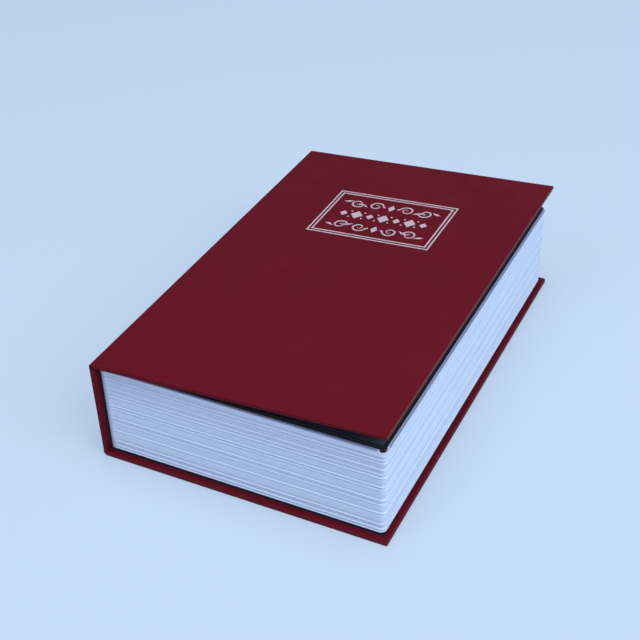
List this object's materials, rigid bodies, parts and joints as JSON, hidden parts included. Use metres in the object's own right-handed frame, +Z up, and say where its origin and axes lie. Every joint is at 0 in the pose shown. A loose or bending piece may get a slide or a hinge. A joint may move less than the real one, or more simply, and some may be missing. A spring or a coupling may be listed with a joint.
{
  "type": "book diversion safe",
  "caption": "Hollow book with a ridged page-block shell round a steel box, whose lid is hinged along the spine and locked by a cam lock.",
  "frame": {"origin": "bottom centre of the closed book's box, on the outside of the back cover", "axes": "+X from the spine to the fore-edge, +Y from tail to head, +Z up through the front cover"},
  "size_m": [0.155, 0.24, 0.0655],
  "materials": {
    "cover_leatherette": "fine-grained dark red leatherette, semi-matt",
    "greyboard": "plain grey binder's board",
    "black_lining": "matt black lining paper",
    "silver_foil": "stamped silver foil",
    "page_plastic": "white moulded plastic, ridged like page edges",
    "steel_paint": "slate grey powder coat, finely textured",
    "zinc_steel": "zinc-plated steel",
    "lock_chrome": "polished chrome plate",
    "wafer_brass": "stamped brass",
    "key_plastic": "black moulded plastic, satin",
    "key_nickel": "nickel-plated, lightly worn"
  },
  "bodies": {
    "case": {"base_cloth": "cover_leatherette", "back_board": "greyboard", "spine_board": "greyboard", "hinge_cloth": "cover_leatherette", "page_shell": "page_plastic", "box_tray": "steel_paint", "box_screw_1": "zinc_steel", "box_screw_2": "zinc_steel", "box_screw_3": "zinc_steel", "box_screw_4": "zinc_steel", "hinge_box_leaf_1": "zinc_steel", "hinge_pin_1": "zinc_steel", "hinge_box_leaf_2": "zinc_steel", "hinge_pin_2": "zinc_steel", "lock_catch": "zinc_steel", "key_1_head": "key_plastic", "key_1_blade": "key_nickel", "key_2_head": "key_plastic", "key_2_blade": "key_nickel", "key_ring": "key_nickel"},
    "front_cover": {"front_cloth": "cover_leatherette", "front_board": "greyboard", "front_lining": "black_lining", "title_frame_outer": "silver_foil", "title_frame_inner": "silver_foil"},
    "lid": {"lid": "steel_paint", "hinge_lid_leaf_1": "zinc_steel", "hinge_lid_leaf_2": "zinc_steel", "lock_housing": "lock_chrome", "lock_nut": "zinc_steel"},
    "lock_core": {"lock_plug": "lock_chrome", "lock_wafer_1": "wafer_brass", "lock_wafer_2": "wafer_brass", "lock_wafer_3": "wafer_brass", "lock_wafer_4": "wafer_brass", "lock_cam": "zinc_steel", "cam_washer": "zinc_steel", "cam_screw": "zinc_steel"}
  },
  "joints": [
    {"name": "cover_hinge", "type": "hinge", "parent": "case", "child": "front_cover", "pos_m": [-0.0775, 0, 0.057], "axis": [0, -1, 0], "range_deg": [0, 198]},
    {"name": "lid_hinge", "type": "hinge", "parent": "case", "child": "lid", "pos_m": [-0.0706, 0, 0.0525], "axis": [0, -1, 0], "range_deg": [0, 100]},
    {"name": "lock_turn", "type": "hinge", "parent": "lid", "child": "lock_core", "pos_m": [0.0539, 0, 0.045], "axis": [0, 0, -1], "range_deg": [0, 90]}
  ],
  "couplings": [
    {"joint": "lid_hinge", "follows": "cover_hinge", "ratio": 0.5}
  ]
}
